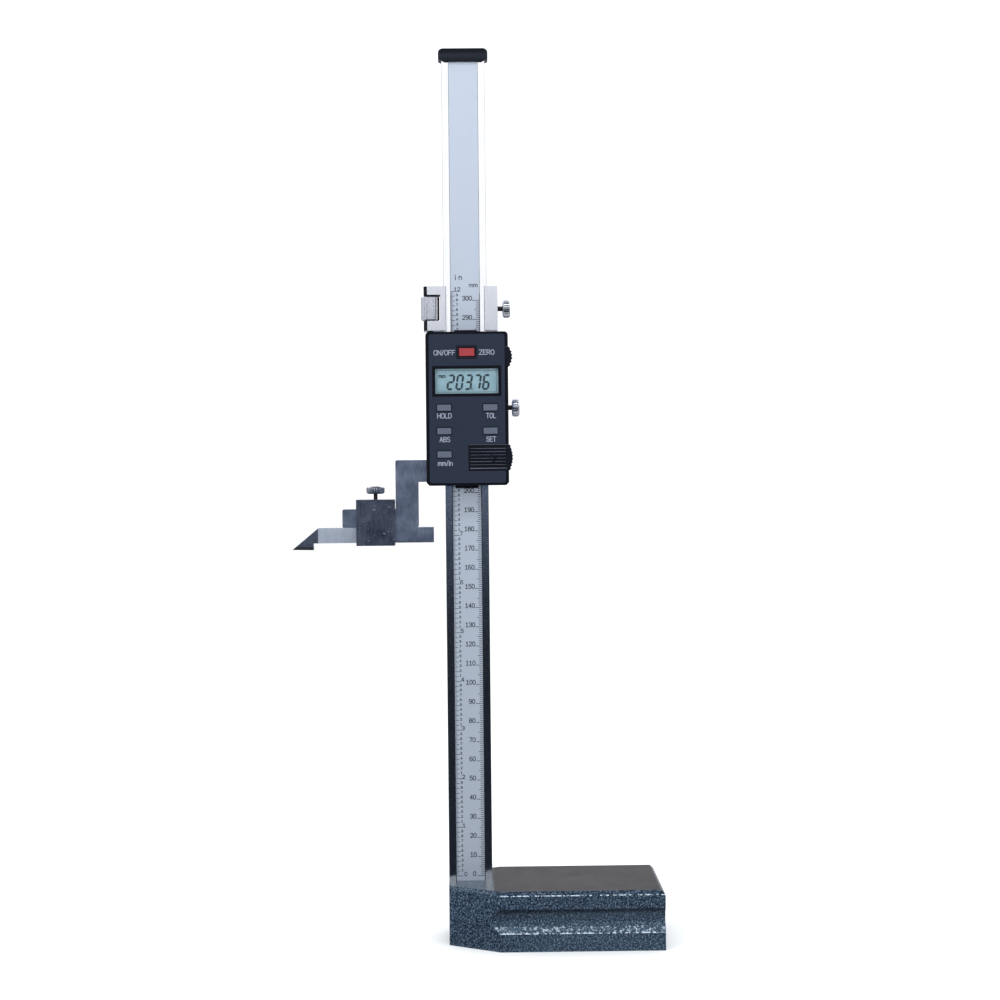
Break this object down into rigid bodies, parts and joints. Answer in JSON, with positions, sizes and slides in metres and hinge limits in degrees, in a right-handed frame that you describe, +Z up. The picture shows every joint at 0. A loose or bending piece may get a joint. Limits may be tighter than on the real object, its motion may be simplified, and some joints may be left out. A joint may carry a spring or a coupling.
{
  "type": "digital height gauge",
  "caption": "Digital height gauge: a wedge-nosed iron base holds an upright steel column; a slider with display, keys and jaw arm carries a clamped scriber.",
  "frame": {"origin": "on the base's underside, straight under the middle of the column", "axes": "+Z up along the column, +X along the base away from the scriber, +Y away from the reader of the display"},
  "size_m": [0.1906, 0.075, 0.464],
  "materials": {
    "base_paint": "hammered blue-grey paint, ground top",
    "column_steel": "ground stainless steel",
    "black_plastic": "fine moulded texture",
    "scale_print": "satin silver with printed marks",
    "circuit_board": "solder mask",
    "frame_steel": "ground steel",
    "bright_steel": "satin steel",
    "dark_steel": "black oxide",
    "box_steel": "ground tool steel",
    "carbide": "ground carbide",
    "brass": "satin",
    "navy_film": "satin printed film",
    "window": "clear",
    "panel_glass": "reflective grey-green display",
    "elastomer": "soft",
    "cream_plastic": "moulded",
    "nickel": "plated",
    "red_key": "satin",
    "grey_key": "satin"
  },
  "bodies": {
    "base": {"base_casting": "base_paint", "beam": "column_steel", "beam_screws": "dark_steel", "beam_cap": "black_plastic", "scale_board": "circuit_board", "scale_label": "scale_print"},
    "slider": {"slider_frame": "frame_steel", "gib_strip": "brass", "gib_screws": "dark_steel", "lead_screw": "dark_steel", "sensor_board": "circuit_board", "scale_wipers": "black_plastic", "case_back": "black_plastic", "case_front": "black_plastic", "case_screws": "dark_steel", "frame_screws": "dark_steel", "front_film": "navy_film", "display_window": "window", "display_panel": "panel_glass", "display_connectors": "elastomer", "main_board": "circuit_board", "board_connector": "cream_plastic", "controller_chip": "black_plastic", "key_domes": "nickel", "battery_cell": "nickel", "battery_contacts": "nickel", "data_connector": "black_plastic"},
    "battery_cover": {"battery_cover": "black_plastic"},
    "port_cover": {"port_cover": "black_plastic"},
    "slider_lock_screw": {"slider_lock_screw": "bright_steel"},
    "fine_clamp": {"fine_clamp": "bright_steel", "clamp_shoe": "brass"},
    "fine_clamp_screw": {"fine_clamp_screw": "bright_steel"},
    "fine_nut": {"fine_nut": "bright_steel"},
    "scriber_clamp": {"scriber_clamp": "box_steel"},
    "scriber_clamp_screw": {"scriber_clamp_screw": "bright_steel"},
    "scriber": {"scriber_bar": "bright_steel", "carbide_tip": "carbide"},
    "key_zero": {"key_zero": "red_key"},
    "key_hold": {"key_hold": "grey_key"},
    "key_abs": {"key_abs": "grey_key"},
    "key_unit": {"key_unit": "grey_key"},
    "key_tol": {"key_tol": "grey_key"},
    "key_set": {"key_set": "grey_key"}
  },
  "joints": [
    {"name": "slider_travel", "type": "slide", "parent": "base", "child": "slider", "axis": [0, 0, 1], "range_m": [-0.20376, 0.09624]},
    {"name": "fine_nut_turn", "type": "hinge", "parent": "fine_clamp", "child": "fine_nut", "pos_m": [-0.01823, 0, 0.32876], "axis": [0, 0, 1], "range_deg": [-150, 3610]},
    {"name": "fine_travel", "type": "slide", "parent": "slider", "child": "fine_clamp", "axis": [0, 0, 1], "range_m": [-0.0002, 0.005]},
    {"name": "slider_lock_turn", "type": "hinge", "parent": "slider", "child": "slider_lock_screw", "pos_m": [0.02, 0, 0.27716], "axis": [1, 0, 0], "range_deg": [0, 720]},
    {"name": "fine_clamp_turn", "type": "hinge", "parent": "fine_clamp", "child": "fine_clamp_screw", "pos_m": [0.018, 0, 0.32876], "axis": [1, 0, 0], "range_deg": [0, 720]},
    {"name": "scriber_clamp_slide", "type": "slide", "parent": "slider", "child": "scriber_clamp", "axis": [1, 0, 0], "range_m": [-0.007, 0.0004]},
    {"name": "scriber_clamp_turn", "type": "hinge", "parent": "scriber_clamp", "child": "scriber_clamp_screw", "pos_m": [-0.04775, 0, 0.23176], "axis": [0, 0, 1], "range_deg": [0, 720]},
    {"name": "scriber_slide", "type": "slide", "parent": "scriber_clamp", "child": "scriber", "axis": [1, 0, 0], "range_m": [-0.018, 0.0045]},
    {"name": "battery_cover_slide", "type": "slide", "parent": "slider", "child": "battery_cover", "axis": [1, 0, 0], "range_m": [0, 0.023]},
    {"name": "port_cover_slide", "type": "slide", "parent": "slider", "child": "port_cover", "axis": [1, 0, 0], "range_m": [0, 0.006]},
    {"name": "key_zero_press", "type": "slide", "parent": "slider", "child": "key_zero", "axis": [0, 1, 0], "range_m": [0, 0.0005], "stiffness_N_per_m": 800},
    {"name": "key_hold_press", "type": "slide", "parent": "slider", "child": "key_hold", "axis": [0, 1, 0], "range_m": [0, 0.0005], "stiffness_N_per_m": 800},
    {"name": "key_abs_press", "type": "slide", "parent": "slider", "child": "key_abs", "axis": [0, 1, 0], "range_m": [0, 0.0005], "stiffness_N_per_m": 800},
    {"name": "key_unit_press", "type": "slide", "parent": "slider", "child": "key_unit", "axis": [0, 1, 0], "range_m": [0, 0.0005], "stiffness_N_per_m": 800},
    {"name": "key_tol_press", "type": "slide", "parent": "slider", "child": "key_tol", "axis": [0, 1, 0], "range_m": [0, 0.0005], "stiffness_N_per_m": 800},
    {"name": "key_set_press", "type": "slide", "parent": "slider", "child": "key_set", "axis": [0, 1, 0], "range_m": [0, 0.0005], "stiffness_N_per_m": 800}
  ],
  "couplings": [
    {"joint": "fine_nut_turn", "follows": "fine_travel", "rad_per_m": 12566}
  ]
}
